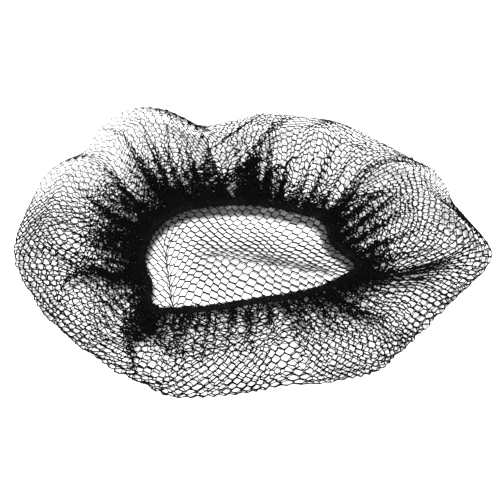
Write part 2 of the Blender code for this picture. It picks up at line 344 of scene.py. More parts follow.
class NetSettings(bpy.types.PropertyGroup):
    cell_pitch: bpy.props.FloatProperty(
        name="Cell pitch", description="Distance between neighbouring cells of the flat net",
        default=0.0056, min=0.003, unit="LENGTH")
    row_height: bpy.props.FloatProperty(
        name="Row height", description="Distance between neighbouring rows of cells of the flat net",
        default=0.0042, min=0.002, unit="LENGTH")
    rib_share: bpy.props.FloatProperty(
        name="Rib share", description="Length of the strands across the rows over the height of a row",
        default=0.44, min=0.2, max=0.9)
    strand: bpy.props.FloatProperty(
        name="Strand", description="Diameter of a single strand",
        default=0.00058, min=0.0001, unit="LENGTH")
    doubled_strand: bpy.props.FloatProperty(
        name="Doubled strand", description="Diameter where two strands are knitted together",
        default=0.00092, min=0.0001, unit="LENGTH")
    row_turn: bpy.props.FloatProperty(
        name="Row turn", description="Turn of the cell rows on the surface",
        default=math.radians(10.0), subtype="ANGLE")
    # Painted shade and painted light: the darker yarn colour is shade painted where the filaments lie close,
    # the greyer one is light painted where they fan out
    painted_shade_between_filaments: bpy.props.FloatVectorProperty(
        name="Painted shade between filaments", description="Shade painted into the yarn where its filaments lie close",
        default=linear("#010102"), size=4, min=0.0, max=1.0, subtype="COLOR")
    painted_light_on_filaments: bpy.props.FloatVectorProperty(
        name="Painted light on filaments", description="Light painted onto the yarn where its filaments fan out",
        default=linear("#070709"), size=4, min=0.0, max=1.0, subtype="COLOR")
    settle_steps: bpy.props.IntProperty(
        name="Settling steps", description="Rounds in which stretched strands take back their own length",
        default=120, min=0)
    settle_reach: bpy.props.FloatProperty(
        name="Settling reach", description="How far a crossing may move while the net settles",
        default=0.006, min=0.0, unit="LENGTH")


class ElasticSettings(bpy.types.PropertyGroup):
    yarn: bpy.props.FloatProperty(
        name="Covering yarn", description="Diameter of the yarn wound round the elastic",
        default=0.0005, min=0.0001, unit="LENGTH")
    pitch: bpy.props.FloatProperty(
        name="Winding pitch", description="Distance between neighbouring turns of the covering yarn",
        default=0.0008, min=0.0002, unit="LENGTH")
    fuzz: bpy.props.IntProperty(
        name="Fuzz", description="Number of loose filament loops that stand out of the covering",
        default=2600, min=0)
    fuzz_height: bpy.props.FloatProperty(
        name="Fuzz height", description="How far the highest loops stand out",
        default=0.0016, min=0.0, unit="LENGTH")
    filament: bpy.props.FloatProperty(
        name="Filament", description="Diameter of a loop's filament, as coarse as it needs to show",
        default=0.00022, min=0.00005, unit="LENGTH")
    cover: bpy.props.FloatVectorProperty(
        name="Cover colour", description="Colour of the brushed cover",
        default=linear("#050404"), size=4, min=0.0, max=1.0, subtype="COLOR")
    worn: bpy.props.FloatVectorProperty(
        name="Worn colour", description="Colour of the specks where the cover is worn open",
        default=linear("#15110f"), size=4, min=0.0, max=1.0, subtype="COLOR")


class StageSettings(bpy.types.PropertyGroup):
    camera_height: bpy.props.FloatProperty(
        name="Camera elevation", description="Angle of the view above the surface",
        default=math.radians(50.0), subtype="ANGLE")
    camera_distance: bpy.props.FloatProperty(
        name="Camera distance", description="From the lens to the net",
        default=0.694, unit="LENGTH")
    camera_drop: bpy.props.FloatProperty(
        name="Camera drop", description="Shift of the view along the picture's upright",
        default=-0.0029, unit="LENGTH")
    lens: bpy.props.FloatProperty(
        name="Lens", description="Focal length in millimetres", default=80.0, min=1.0)
    sensor: bpy.props.FloatProperty(
        name="Sensor", description="Width of the sensor in millimetres", default=36.0, min=1.0)
    room_light: bpy.props.FloatProperty(
        name="Room light", description="Strength of the even light from all round", default=0.45, min=0.0)
    key_strength: bpy.props.FloatProperty(
        name="Key light", description="Strength of the large softbox", default=6.5, min=0.0)
    key_height: bpy.props.FloatProperty(
        name="Key light elevation", description="Angle of the softbox above the surface",
        default=math.radians(58.0), subtype="ANGLE")
    key_side: bpy.props.FloatProperty(
        name="Key light turn", description="Turn of the softbox from the front towards the right",
        default=math.radians(4.0), subtype="ANGLE")
    key_softness: bpy.props.FloatProperty(
        name="Key light softness", description="Angle that the softbox fills, seen from the net",
        default=math.radians(7.0), subtype="ANGLE")
    paper: bpy.props.FloatVectorProperty(
        name="Paper colour", description="Colour of the background paper where it is greyest",
        default=linear("#f1f2f2"), size=4, min=0.0, max=1.0, subtype="COLOR")
    pale_paper: bpy.props.FloatVectorProperty(
        name="Pale paper colour", description="Colour of the background paper where it is palest",
        default=linear("#f6f6f5"), size=4, min=0.0, max=1.0, subtype="COLOR")


def smooth_step(value):
    """Ease from 0 to 1 as the value does, flat at both ends."""
    value = np.clip(value, 0.0, 1.0)
    return value * value * (3.0 - 2.0 * value)


def around(table, columns, name, azimuth):
    """A table's column as a smooth closed curve of azimuth in radians."""
    rows = np.array(table, float)
    knots = np.radians(rows[:, 0])
    values = rows[:, columns.index(name)]
    turn = 2.0 * math.pi
    knots = np.concatenate([knots - turn, knots, knots + turn])
    values = np.tile(values, 3)
    slopes = np.gradient(values, knots)
    azimuth = np.mod(azimuth, turn)
    right = np.searchsorted(knots, azimuth, side="right")
    left = right - 1
    span = knots[right] - knots[left]
    t = (azimuth - knots[left]) / span
    start = values[left] * (1 + 2 * t) * (1 - t) ** 2 + slopes[left] * span * t * (1 - t) ** 2
    end = values[right] * t * t * (3 - 2 * t) + slopes[right] * span * t * t * (t - 1)
    return start + end


def elastic_line(azimuth):
    """Points along the middle of the elastic, for net of this azimuth."""
    x = around(LOOP, LOOP_COLUMNS, "across", azimuth) * MOUTH_WIDTH / 2 - MOUTH_SET_LEFT
    y = around(LOOP, LOOP_COLUMNS, "back", azimuth) * MOUTH_DEPTH / 2 - MOUTH_SET_FORWARD
    z = around(LOOP, LOOP_COLUMNS, "height", azimuth) * MOUTH_HEIGHT
    return np.stack([x, y, z], axis=-1)


def outward_of_elastic(azimuth):
    """Level unit vectors that point out of the elastic's loop."""
    step = math.radians(DIRECTION_DEG)
    along = elastic_line(azimuth + step) - elastic_line(azimuth - step)
    outward = np.stack([along[..., 1], -along[..., 0], np.zeros_like(azimuth)], axis=-1)
    return outward / np.linalg.norm(outward, axis=-1, keepdims=True)


def along_elastic(place):
    """The elastic's middle, outward and upward unit vectors at shares of its length, in the frame,
    and that length."""
    even = np.linspace(0.0, 2 * math.pi, LENGTH_SAMPLES)
    steps = np.linalg.norm(np.diff(elastic_line(even), axis=0), axis=1)
    gone = np.concatenate([[0.0], np.cumsum(steps)])
    azimuth = np.interp(np.mod(place, 1.0) * gone[-1], gone, even)
    outward = outward_of_elastic(azimuth)
    up = np.broadcast_to(np.array([0.0, 0.0, 1.0]), outward.shape)
    return elastic_line(azimuth) + frame_shift(), outward, up, gone[-1]


def elastic_middle():
    """Middle of the elastic's box in the frame."""
    low, high = (np.array(corner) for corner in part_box("elastic_band"))
    return (low + high) / 2


def frame_shift():
    """From the flat cut's own middle to the frame's origin, found from the elastic's place there."""
    line = elastic_line(np.linspace(0, 2 * math.pi, BOX_SAMPLES))
    shift = elastic_middle() - (line.min(axis=0) + line.max(axis=0)) / 2
    shift[2] = 0.0
    return shift


def loft(azimuth):
    """Height of the outer fold's top."""
    return around(PUFFS, PUFF_COLUMNS, "loft", azimuth) * PUFF_HEIGHT


def table_reach(azimuth):
    """How far the crown lies flat on the table before the outer fold starts."""
    reach = around(PUFFS, PUFF_COLUMNS, "reach", azimuth) * NET_WIDTH / 2 + EDGE_EASE
    return reach - loft(azimuth) * FOLD_RUN_SHARE


def fold_lines(way):
    """Azimuths of the folds' lines at these shares of the way in, a row for each fold."""
    moved = smooth_step((way - FOLD_DRIFT_START) / FOLD_DRIFT_RUN)
    return np.stack([math.radians(row[0]) + math.radians(row[1]) * moved for row in FOLDS])


def fold_dip(azimuth, way):
    """Share of the loft that the folds take away, by share of the way from fold to elastic."""
    dip = np.zeros_like(azimuth * way)
    for line, (_, _, half_width, depth, _, _) in zip(fold_lines(way), FOLDS):
        apart = np.angle(np.exp(1j * (azimuth - line)))
        dip += depth * np.exp(-((apart / math.radians(half_width)) ** 2))
    return dip


def drawn_in(azimuth, way, gather):
    """Azimuth at which the net comes to lie once the folds have taken up part of the gather: at a
    fold it turns back and forth again, and between folds it keeps more of its width. Also the
    height of the folds' lips, from -1 to 1."""
    lines = fold_lines(way)
    each = np.arange(len(azimuth))
    past_each = np.mod(azimuth - lines, 2 * math.pi)
    behind = past_each.argmin(axis=0)
    ahead = (behind + 1) % len(FOLDS)
    past = past_each[behind, each]
    left = np.mod(lines[ahead, each] - azimuth, 2 * math.pi)
    half = (past + left) / 2
    nearest = np.where(past < left, behind, ahead)
    side = np.where(past < left, 1.0, -1.0)
    apart = np.minimum(past, left)
    taken = np.array([row[4] for row in FOLDS])[nearest]
    start = np.array([row[5] for row in FOLDS])[nearest]
    grown = taken * smooth_step((way - start) / FOLD_GROWTH)
    stretch = 1 + (np.clip(gather, 1.0, MOST_DOUBLED) - 1) * grown
    turned_back = (stretch - 1) * half / stretch / 2
    moved = np.where(apart < turned_back, -stretch * apart, half - stretch * (half - apart))
    width = np.maximum(turned_back, TINY)
    lip = side * np.where(apart < width, apart / width, np.exp(1 - apart / width))
    lip *= smooth_step((stretch - 1) / FULL_LIP) * np.where(nearest % 2 == 0, 1.0, -1.0)
    place = lines[nearest, each] + side * moved
    for centre, spread, half_width in SPREADS:
        apart = np.angle(np.exp(1j * (place - math.radians(centre))))
        grown = smooth_step(way / SPREAD_START)
        place += spread * grown * apart * np.exp(-((apart / math.radians(half_width)) ** 2))
    return place, lip


def raised_path(azimuth):
    """The profile above the table, from the outer fold's foot to the hem: points by step."""
    direction = np.stack([np.cos(azimuth), np.sin(azimuth)], axis=-1)
    top_height = loft(azimuth)[..., None]
    edge_height = around(PUFFS, PUFF_COLUMNS, "edge", azimuth)[..., None] * top_height
    foot = table_reach(azimuth)[..., None]
    rise = np.linspace(-1.0, 1.0, FOLD_STEPS)
    out = foot + FOLD_RUN_SHARE * top_height * (1 - np.abs(rise) ** FOLD_ROUNDNESS)
    height = edge_height + rise * np.where(rise < 0, edge_height, top_height - edge_height)
    fold = np.concatenate([out[..., None] * direction[:, None, :], height[..., None]], axis=-1)

    end = elastic_line(azimuth) + outward_of_elastic(azimuth) * (ELASTIC_DIAMETER / 2 + HEM_CLEARANCE)
    share = np.linspace(0.0, 1.0, TOP_STEPS + 1)[1:]
    across = share[None, :, None]
    top = fold[:, -1:, :] * (1 - across) + end[:, None, :] * across
    lift = smooth_step(share)[None, :]
    top[..., 2] = fold[:, -1:, 2] * (1 - lift) + end[:, None, 2] * lift
    dip = fold_dip(azimuth[:, None], share[None, :])
    top[..., 2] -= dip * np.sin(math.pi * share) * loft(azimuth)[:, None]
    return np.concatenate([fold, top], axis=1)


def path_lengths(path):
    """Length gone at each step of each path."""
    steps = np.linalg.norm(np.diff(path, axis=1), axis=-1)
    return np.concatenate([np.zeros((len(path), 1)), np.cumsum(steps, axis=1)], axis=1)


def look_up(value, knots, table):
    """Linear look-up of one value in each row of a table."""
    rows = np.arange(len(value))
    right = np.clip((knots < value[:, None]).sum(axis=1), 1, knots.shape[1] - 1)
    left = right - 1
    t = np.clip((value - knots[rows, left]) / (knots[rows, right] - knots[rows, left]), 0.0, 1.0)
    if table.ndim == 3:
        t = t[:, None]
    return table[rows, left] * (1 - t) + table[rows, right] * t


def crown(flat, foot):
    """The part of the net that lies on the table, with its ridges and creases."""
    x, y = flat[:, 0].copy(), flat[:, 1].copy()
    loose = smooth_step((1 - np.hypot(x, y) / foot) / CROWN_MARGIN)
    height = np.zeros_like(x)
    for x_start, y_start, x_end, y_end, crest, behind, before, drawn in RIDGES:
        share, aside = beside_line(flat, x_start, y_start, x_end, y_end)
        taper = smooth_step(share / RIDGE_TAPER) * smooth_step((1 - share) / RIDGE_TAPER) * loose
        away = np.hypot(aside, RIDGE_ROUNDING) - RIDGE_ROUNDING
        slope = np.clip(1 - away / np.where(aside < 0, behind, before), 0.0, 1.0)
        height += crest * taper * slope
        y -= drawn * taper * (1 - np.clip(1 + aside / behind, 0.0, 1.0) ** 2) * (aside < 0)
    for x_start, y_start, x_end, y_end, pull, drawn, half_width, push, rise in CREASES:
        share, aside = beside_line(flat, x_start, y_start, x_end, y_end)
        taper = smooth_step(share / CREASE_TAPER) * smooth_step((1 - share) / CREASE_TAPER) * loose
        beside = np.maximum(-aside, 0.0) / FOLD_ASIDE
        swell = taper * beside * np.exp(1 - beside)
        y += push * swell - pull * taper * np.exp(-np.abs(aside) / PULL_RUN)
        x += drawn * taper * np.tanh(aside / half_width)
        height += rise * swell
    return np.stack([x, y, height], axis=-1)


def beside_line(flat, x_start, y_start, x_end, y_end):
    """Share of the way along a line of the crown, and distance to its right-hand side."""
    x_start, y_start, x_end, y_end = np.array([x_start, y_start, x_end, y_end]) * NET_WIDTH
    along = np.array([x_end - x_start, y_end - y_start])
    length = np.linalg.norm(along)
    along /= length
    x = flat[:, 0] - x_start
    y = flat[:, 1] - y_start
    return (x * along[0] + y * along[1]) / length, x * along[1] - y * along[0]


def waves(azimuth, count, generator):
    """Uneven waves round the net, about this many, mostly from -1 to 1."""
    drift = np.zeros_like(azimuth)
    swing = np.ones_like(azimuth)
    for turns in UNEVEN_TURNS:
        shift = generator.normal(0.0, UNEVEN_SHIFT)
        drift += shift * np.sin(turns * azimuth + generator.uniform(0, 2 * math.pi))
        swell = generator.normal(0.0, UNEVEN_SWELL)
        swing += swell * np.sin(turns * azimuth + generator.uniform(0, 2 * math.pi))
    return np.cos(count * azimuth + drift) * swing


def hem_radius(azimuth):
    """Radius of the flat cut where it meets the elastic."""
    even = np.linspace(0.0, 2 * math.pi, HEM_SAMPLES)
    length = path_lengths(raised_path(even))[:, -1]
    radius = table_reach(even) + around(BUNCH, BUNCH_COLUMNS, "spare", even) * length
    kernel = np.hanning(HEM_SMOOTHING)
    kernel /= kernel.sum()
    side = HEM_SMOOTHING // 2
    wrapped = np.concatenate([radius[-side - 1:-1], radius, radius[1:side + 1]])
    smooth = np.convolve(wrapped, kernel, mode="valid")
    return np.interp(np.mod(azimuth, 2 * math.pi), even, smooth)


def in_band(way, band):
    """How far inside the bunched band a share of the way is, from 0 to 1: half at the band's edge,
    none half a band outside it and all half a band inside it."""
    return smooth_step((way - 1) / band + 1.5)


def way_in(azimuth, share):
    """Share of the path from fold to elastic, for shares of the net there: even at first, then
    bunched in a band beside the elastic. Also how bunched it is, from 0 to 1."""
    length = path_lengths(raised_path(azimuth))[:, -1]
    net = hem_radius(azimuth) - table_reach(azimuth)
    band = around(BUNCH, BUNCH_COLUMNS, "band", azimuth) / 1000 / length
    even = around(BUNCH, BUNCH_COLUMNS, "even", azimuth)
    surplus = np.maximum(net / length - even, 0.0) / band
    way = np.linspace(0.0, 1.0, WAY_SAMPLES)[None, :]
    bunched = in_band(way, band[:, None])
    density = 1 + (even[:, None] - 1) * smooth_step(way / EVEN_RISE) + surplus[:, None] * bunched
    laid = np.cumsum(density, axis=1) - density[:, :1]
    laid /= laid[:, -1:]
    ways = np.broadcast_to(way, laid.shape)
    found = look_up(np.clip(share, 0.0, 1.0), laid, ways)
    return found, in_band(found, band)


def gather_ratio(azimuth, radius, way):
    """Width of the flat net over the width that it comes to lie in, at shares of the way in."""
    step = math.radians(GATHER_DEG)
    places = []
    for beside in (azimuth - step, azimuth + step):
        path = raised_path(beside)
        length = path_lengths(path)
        places.append(look_up(way * length[:, -1], length, path))
    width = np.linalg.norm(places[1] - places[0], axis=1)
    return 2 * step * radius / np.maximum(width, TINY)


def gathered(flat, generator):
    """Where points of the flat cut lie once it is gathered on the elastic, with their share of the
    way from outer fold to elastic in the flat cut and how bunched they lie."""
    azimuth = np.arctan2(flat[:, 1], flat[:, 0])
    radius = np.linalg.norm(flat, axis=1)
    foot = table_reach(azimuth)
    hem = hem_radius(azimuth)
    share = (radius - foot) / (hem - foot)
    way, bunched = way_in(azimuth, share)

    turned, lip = drawn_in(azimuth, way, gather_ratio(azimuth, radius, way))
    path = raised_path(turned)
    length = path_lengths(path)
    beyond = radius - hem
    tube = ELASTIC_DIAMETER / 2 + HEM_CLEARANCE
    tube_length = tube * math.radians(HEM_TURN_DEG)
    strip = np.clip((beyond - tube_length) / HEM_STRIP, 0.0, 1.0) * HEM_STRIP_WIDTH
    raised = look_up(way * length[:, -1] - strip, length, path)
    raised[:, 2] += FOLD_LIP * lip
    for count, height, sideways, start, full, fade in GATHERS:
        place = way - strip / length[:, -1]
        swell = smooth_step((place - start) / (full - start)) * smooth_step((1 - place) / fade)
        raised[:, 2] += height * waves(azimuth, count, generator) * swell
        lean = sideways * waves(azimuth, count, generator) * swell
        raised[:, 0] -= np.sin(azimuth) * lean
        raised[:, 1] += np.cos(azimuth) * lean
    raised += generator.normal(0.0, CRUMPLE, raised.shape) * bunched[:, None] * (beyond < 0)[:, None]

    turn = np.minimum(beyond / tube, math.radians(HEM_TURN_DEG))
    outward = outward_of_elastic(turned)
    up = np.array([0.0, 0.0, 1.0])
    wrapped = elastic_line(turned) + tube * (np.cos(turn)[:, None] * outward + np.sin(turn)[:, None] * up)
    raised[:, 2] -= np.where(beyond > tube_length, HEM_DROP, 0.0)
    points = np.where((share < 0)[:, None], crown(flat, foot), raised)
    round_elastic = (beyond > 0) & (beyond <= tube_length)
    points = np.where(round_elastic[:, None], wrapped, points)
    return points, share, bunched, beyond


def flat_lattice(pitch, row_height, rib_share, turn, limit):
    """Corners of the honeycomb out to a radius, and its strands as pairs of corners with a kind:
    0 across the rows, 1 leaning left, 2 leaning right."""
    rib = rib_share * row_height
    rows = int(limit / row_height) + 3
    columns = int(limit / pitch) + rows + 3
    index = {}
    corners = []
    for row in range(-rows, rows + 1):
        for column in range(-columns, columns + 1):
            x = (column + row / 2 + 0.5) * pitch
            y = row * row_height
            if math.hypot(x, y) > limit:
                continue
            index[(column, row, 0)] = len(corners)
            corners.append((x, y + rib / 2))
            index[(column, row, 1)] = len(corners)
            corners.append((x, y - rib / 2))
    strands = []
    for (column, row, end), corner in index.items():
        if end:
            continue
        for kind, other in enumerate(((column, row, 1), (column - 1, row + 1, 1), (column, row + 1, 1))):
            if other in index:
                strands.append((corner, index[other], kind))
    corners = np.array(corners)
    turned = np.stack([corners[:, 0] * math.cos(turn) - corners[:, 1] * math.sin(turn),
                       corners[:, 0] * math.sin(turn) + corners[:, 1] * math.cos(turn)], axis=-1)
    return turned, np.array(strands)


def uneven(flat, generator):
    """Slow in-plane drift of the knitting, so that the rows aren't ruled lines."""
    drift = np.zeros_like(flat)
    for _ in range(DRIFT_WAVES):
        bearing = generator.uniform(0, 2 * math.pi)
        wave = 2 * math.pi / (DRIFT_LENGTH * generator.uniform(*DRIFT_SPAN))
        phase = generator.uniform(0, 2 * math.pi)
        along = flat @ np.array([math.cos(bearing), math.sin(bearing)])
        push = generator.normal(0.0, 1.0, 2)
        drift += np.sin(along * wave + phase)[:, None] * push
    return drift * DRIFT / math.sqrt(DRIFT_WAVES)


def settle(points, strands, rest, held, reach, steps):
    """Let stretched strands take back their own length. Slack ones only push a little. Held
    crossings stay and the rest keep within reach of where they were."""
    start, end = strands[:, 0], strands[:, 1]
    count = len(points)
    valence = np.bincount(start, minlength=count) + np.bincount(end, minlength=count)
    home = points.copy()
    free = (~held)[:, None]
    for _ in range(steps):
        span = points[end] - points[start]
        length = np.linalg.norm(span, axis=1)
        error = (length - rest) / np.maximum(length, TINY)
        pull = span * (np.where(error > 0, STRETCH_PULL, SLACK_PUSH) * error)[:, None]
        move = np.empty_like(points)
        for axis in range(3):
            move[:, axis] = np.bincount(start, pull[:, axis], count) - np.bincount(end, pull[:, axis], count)
        points = points + free * move / np.maximum(valence, 1)[:, None] * EAGERNESS
        away = points - home
        distance = np.linalg.norm(away, axis=1)
        points = home + away * np.minimum(1.0, reach / np.maximum(distance, TINY))[:, None]
        points[:, 2] = np.maximum(points[:, 2], 0.0)
    return points


def bowed(starts, ends, rest, generator, most):
    """Each strand as three points, with the slack of its length as a bow at the middle. Also a unit
    vector square to each strand's plane."""
    chord = ends - starts
    length = np.linalg.norm(chord, axis=1)
    chord = chord / np.maximum(length, TINY)[:, None]
    aside = np.cross(chord, generator.normal(0.0, 1.0, chord.shape))
    aside /= np.linalg.norm(aside, axis=1, keepdims=True)
    bow = np.minimum(np.sqrt(np.maximum(rest ** 2 - length ** 2, 0.0)) / 2, most)
    middle = (starts + ends) / 2 + aside * bow[:, None]
    middle[:, 2] = np.maximum(middle[:, 2], 0.0)
    return np.stack([starts, middle, ends], axis=1), np.cross(chord, aside)


def yarn_mesh(name, lines, normals, radii, sides=4):
    """One closed strand along each line of points, all in one mesh. The normals are square to each
    line's plane, or given point by point."""
    count, steps = lines.shape[:2]
    along = np.gradient(lines, axis=1)
    along /= np.maximum(np.linalg.norm(along, axis=-1, keepdims=True), TINY)
    first = normals if normals.ndim == 3 else np.broadcast_to(normals[:, None, :], lines.shape)
    second = np.cross(along, first)
    turn = (np.arange(sides) + 0.5) * 2 * math.pi / sides
    ring = first[:, :, None, :] * np.cos(turn)[:, None] + second[:, :, None, :] * np.sin(turn)[:, None]
    vertices = lines[:, :, None, :] + ring * radii[:, :, None, None]
    near = np.arange(sides)
    after = (near + 1) % sides
    step = np.arange(steps - 1)[:, None] * sides
    quads = np.stack([step + near, step + after, step + after + sides, step + near + sides], axis=-1)
    last = (steps - 1) * sides
    pattern = np.concatenate([quads.reshape(-1), near[::-1], near + last])
    loops = (np.arange(count)[:, None] * steps * sides + pattern).reshape(-1)
    totals = np.tile([4] * ((steps - 1) * sides) + [sides, sides], count)
    mesh = bpy.data.meshes.new(name)
    mesh.vertices.add(count * steps * sides)
    mesh.vertices.foreach_set("co", vertices.reshape(-1))
    mesh.loops.add(len(loops))
    mesh.loops.foreach_set("vertex_index", loops)
    mesh.polygons.add(len(totals))
    mesh.polygons.foreach_set("loop_start", np.cumsum(totals) - totals)
    mesh.polygons.foreach_set("loop_total", totals)
    mesh.update(calc_edges=True)
    piece = bpy.data.objects.new(name, mesh)
    bpy.context.scene.collection.objects.link(piece)
    return piece


def strand_radii(kind, middle, share, bunched, settings):
    """Radius of each strand at its start, middle and end."""
    size = np.where(kind == 1, settings.doubled_strand, settings.strand) / 2
    at_edge = np.exp(-((share - EDGE_SHARE) / EDGE_RUN) ** 2)
    at_edge *= smooth_step((middle[:, 1] / NET_WIDTH - BACK_START) / BACK_RUN)
    size = size * (1 - BUNCH_THINNING * bunched) * (1 - EDGE_THINNING * at_edge)
    return size[:, None] * np.array(STRAND_SWELL)


def parts_of_net(middle, share):
    """Which strands belong to the crown, the hem and each side of the raised net."""
    bearing = np.arctan2(middle[:, 1], middle[:, 0])
    side = np.floor(np.mod(bearing / (2 * math.pi), 1.0) * len(SIDES) + 0.5).astype(int) % len(SIDES)
    parts = {"net_crown": share < 0.0, "net_hem": share > HEM_SHARE}
    raised = ~parts["net_crown"] & ~parts["net_hem"]
    for number, name in enumerate(SIDES):
        parts[name] = raised & (side == number)
    return parts


def add_node(tree, kind, inputs=(), links=(), **settings):
    """A node with its settings, its sockets' values and its links from other nodes' outputs."""
    node = tree.nodes.new(kind)
    for name, value in settings.items():
        setattr(node, name, value)
    for name, value in inputs:
        node.inputs[name].default_value = value
    for name, output in links:
        tree.links.new(output, node.inputs[name])
    return node


def textured_nylon(painted_shade_between_filaments, painted_light_on_filaments):
    """Textured nylon 6 yarn, dyed black in the spool, whose crimped filaments trap nearly all the light,
    so it stays black in bright light. Shade is painted into its colour where the filaments lie close,
    and a little greyer painted light where they fan out. The filaments are crimped over about 0.4 mm."""
    material = bpy.data.materials.new("textured black nylon yarn")
    material.use_nodes = True
    tree = material.node_tree
    shader = tree.nodes["Principled BSDF"]
    place = add_node(tree, "ShaderNodeTexCoord")
    # This fine noise makes both the bump of the crimped filaments and the mask of the yarn's painted shade
    # and painted light
    crimp_and_painted_shade = add_node(tree, "ShaderNodeTexNoise", (("Scale", 2500.0), ("Detail", 3.0)),
                     (("Vector", place.outputs["Object"]),))
    # Painted shade and painted light: the ramp gives the yarn its darker painted shade and its greyer
    # painted light
    tone = add_node(tree, "ShaderNodeValToRGB", links=(("Fac", crimp_and_painted_shade.outputs["Fac"]),))
    tone.color_ramp.elements[0].color = painted_shade_between_filaments
    tone.color_ramp.elements[1].color = painted_light_on_filaments
    bump = add_node(tree, "ShaderNodeBump", (("Strength", 0.4), ("Distance", 0.00005)),
                    (("Height", crimp_and_painted_shade.outputs["Fac"]),))
    tree.links.new(tone.outputs["Color"], shader.inputs["Base Color"])
    tree.links.new(bump.outputs["Normal"], shader.inputs["Normal"])
    shader.inputs["Roughness"].default_value = 0.75
    shader.inputs["Specular IOR Level"].default_value = 0.05
    return material


def brushed_cover(cover, worn):
    """Brushed textured polyester wound over rubber: a dull, fuzzy black that catches more light than
    the net's yarn, with faintly brown specks about 3 mm apart where the filaments are worn open.
    The nap is about 0.25 mm long."""
    material = bpy.data.materials.new("brushed black polyester cover")
    material.use_nodes = True
    tree = material.node_tree
    shader = tree.nodes["Principled BSDF"]
    place = add_node(tree, "ShaderNodeTexCoord")
    wear = add_node(tree, "ShaderNodeTexNoise", (("Scale", 350.0), ("Detail", 4.0), ("Roughness", 0.7)),
                    (("Vector", place.outputs["Object"]),))
    tone = add_node(tree, "ShaderNodeValToRGB", links=(("Fac", wear.outputs["Fac"]),))
    tone.color_ramp.elements[0].position = 0.35
    tone.color_ramp.elements[0].color = cover
    tone.color_ramp.elements[1].position = 0.75
    tone.color_ramp.elements[1].color = worn
    nap = add_node(tree, "ShaderNodeTexNoise", (("Scale", 4000.0), ("Detail", 2.0)),
                   (("Vector", place.outputs["Object"]),))
    bump = add_node(tree, "ShaderNodeBump", (("Strength", 0.6), ("Distance", 0.0001)),
                    (("Height", nap.outputs["Fac"]),))
    tree.links.new(tone.outputs["Color"], shader.inputs["Base Color"])
    tree.links.new(bump.outputs["Normal"], shader.inputs["Normal"])
    shader.inputs["Roughness"].default_value = 0.9
    shader.inputs["Specular IOR Level"].default_value = 0.15
    return material


def matt_paper(paper, pale_paper):
    """Smooth white background paper: matt, with faint clouds about 170 mm apart and a fibre grain of
    about half a millimetre."""
    material = bpy.data.materials.new("matt white background paper")
    material.use_nodes = True
    tree = material.node_tree
    shader = tree.nodes["Principled BSDF"]
    place = add_node(tree, "ShaderNodeTexCoord")
    cloud = add_node(tree, "ShaderNodeTexNoise", (("Scale", 6.0), ("Detail", 3.0)),
                     (("Vector", place.outputs["Object"]),))
    tone = add_node(tree, "ShaderNodeValToRGB", links=(("Fac", cloud.outputs["Fac"]),))
    tone.color_ramp.elements[0].color = paper
    tone.color_ramp.elements[1].color = pale_paper
    fibre = add_node(tree, "ShaderNodeTexNoise", (("Scale", 2000.0), ("Detail", 2.0)),
                     (("Vector", place.outputs["Object"]),))
    bump = add_node(tree, "ShaderNodeBump", (("Strength", 0.15), ("Distance", 0.00005)),
                    (("Height", fibre.outputs["Fac"]),))
    tree.links.new(tone.outputs["Color"], shader.inputs["Base Color"])
    tree.links.new(bump.outputs["Normal"], shader.inputs["Normal"])
    shader.inputs["Roughness"].default_value = 0.9
    return material


class HAIRNET_OT_net(bpy.types.Operator):
    """Knit the net flat, gather it on the elastic and let it settle"""

    bl_idname = "hairnet.net"
    bl_label = "Net"

    def execute(self, context):
        settings = context.scene.hairnet_net
        generator = np.random.default_rng(SEED)
        hem_width = (ELASTIC_DIAMETER / 2 + HEM_CLEARANCE) * math.radians(HEM_TURN_DEG) + HEM_STRIP
        limit = hem_radius(np.linspace(0, 2 * math.pi, HEM_SAMPLES)).max() + hem_width
        flat, strands = flat_lattice(
            settings.cell_pitch, settings.row_height, settings.rib_share, settings.row_turn, limit)
        flat = flat + uneven(flat, generator)
        points, share, bunched, beyond = gathered(flat, generator)
        kept = beyond <= hem_width
        number = np.cumsum(kept) - 1
        strands = strands[kept[strands[:, 0]] & kept[strands[:, 1]]]
        strands[:, :2] = number[strands[:, :2]]
        points, share, flat, bunched = (column[kept] for column in (points, share, flat, bunched))
        first, last = strands[:, 0], strands[:, 1]
        rest = np.linalg.norm(flat[first] - flat[last], axis=1)
        held = (share > HELD_AT_HEM) | (share < HELD_IN_CROWN)
        points = settle(points, strands, rest, held, settings.settle_reach, settings.settle_steps)
        points = points + frame_shift() + np.array([0.0, 0.0, settings.doubled_strand / 2])

        most = np.where(share[first] < 0, CROWN_BOW, MOST_BOW)
        lines, normals = bowed(points[first], points[last], rest, generator, most)
        radii = strand_radii(strands[:, 2], lines[:, 1], share[first], bunched[first], settings)
        material = textured_nylon(settings.painted_shade_between_filaments, settings.painted_light_on_filaments)
        parts = parts_of_net(lines[:, 1], (share[first] + share[last]) / 2)
        for name, chosen in parts.items():
            piece = yarn_mesh(name, lines[chosen], normals[chosen], radii[chosen])
            piece.data.materials.append(material)
            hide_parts("net")
            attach(piece, "root")
        return {"FINISHED"}


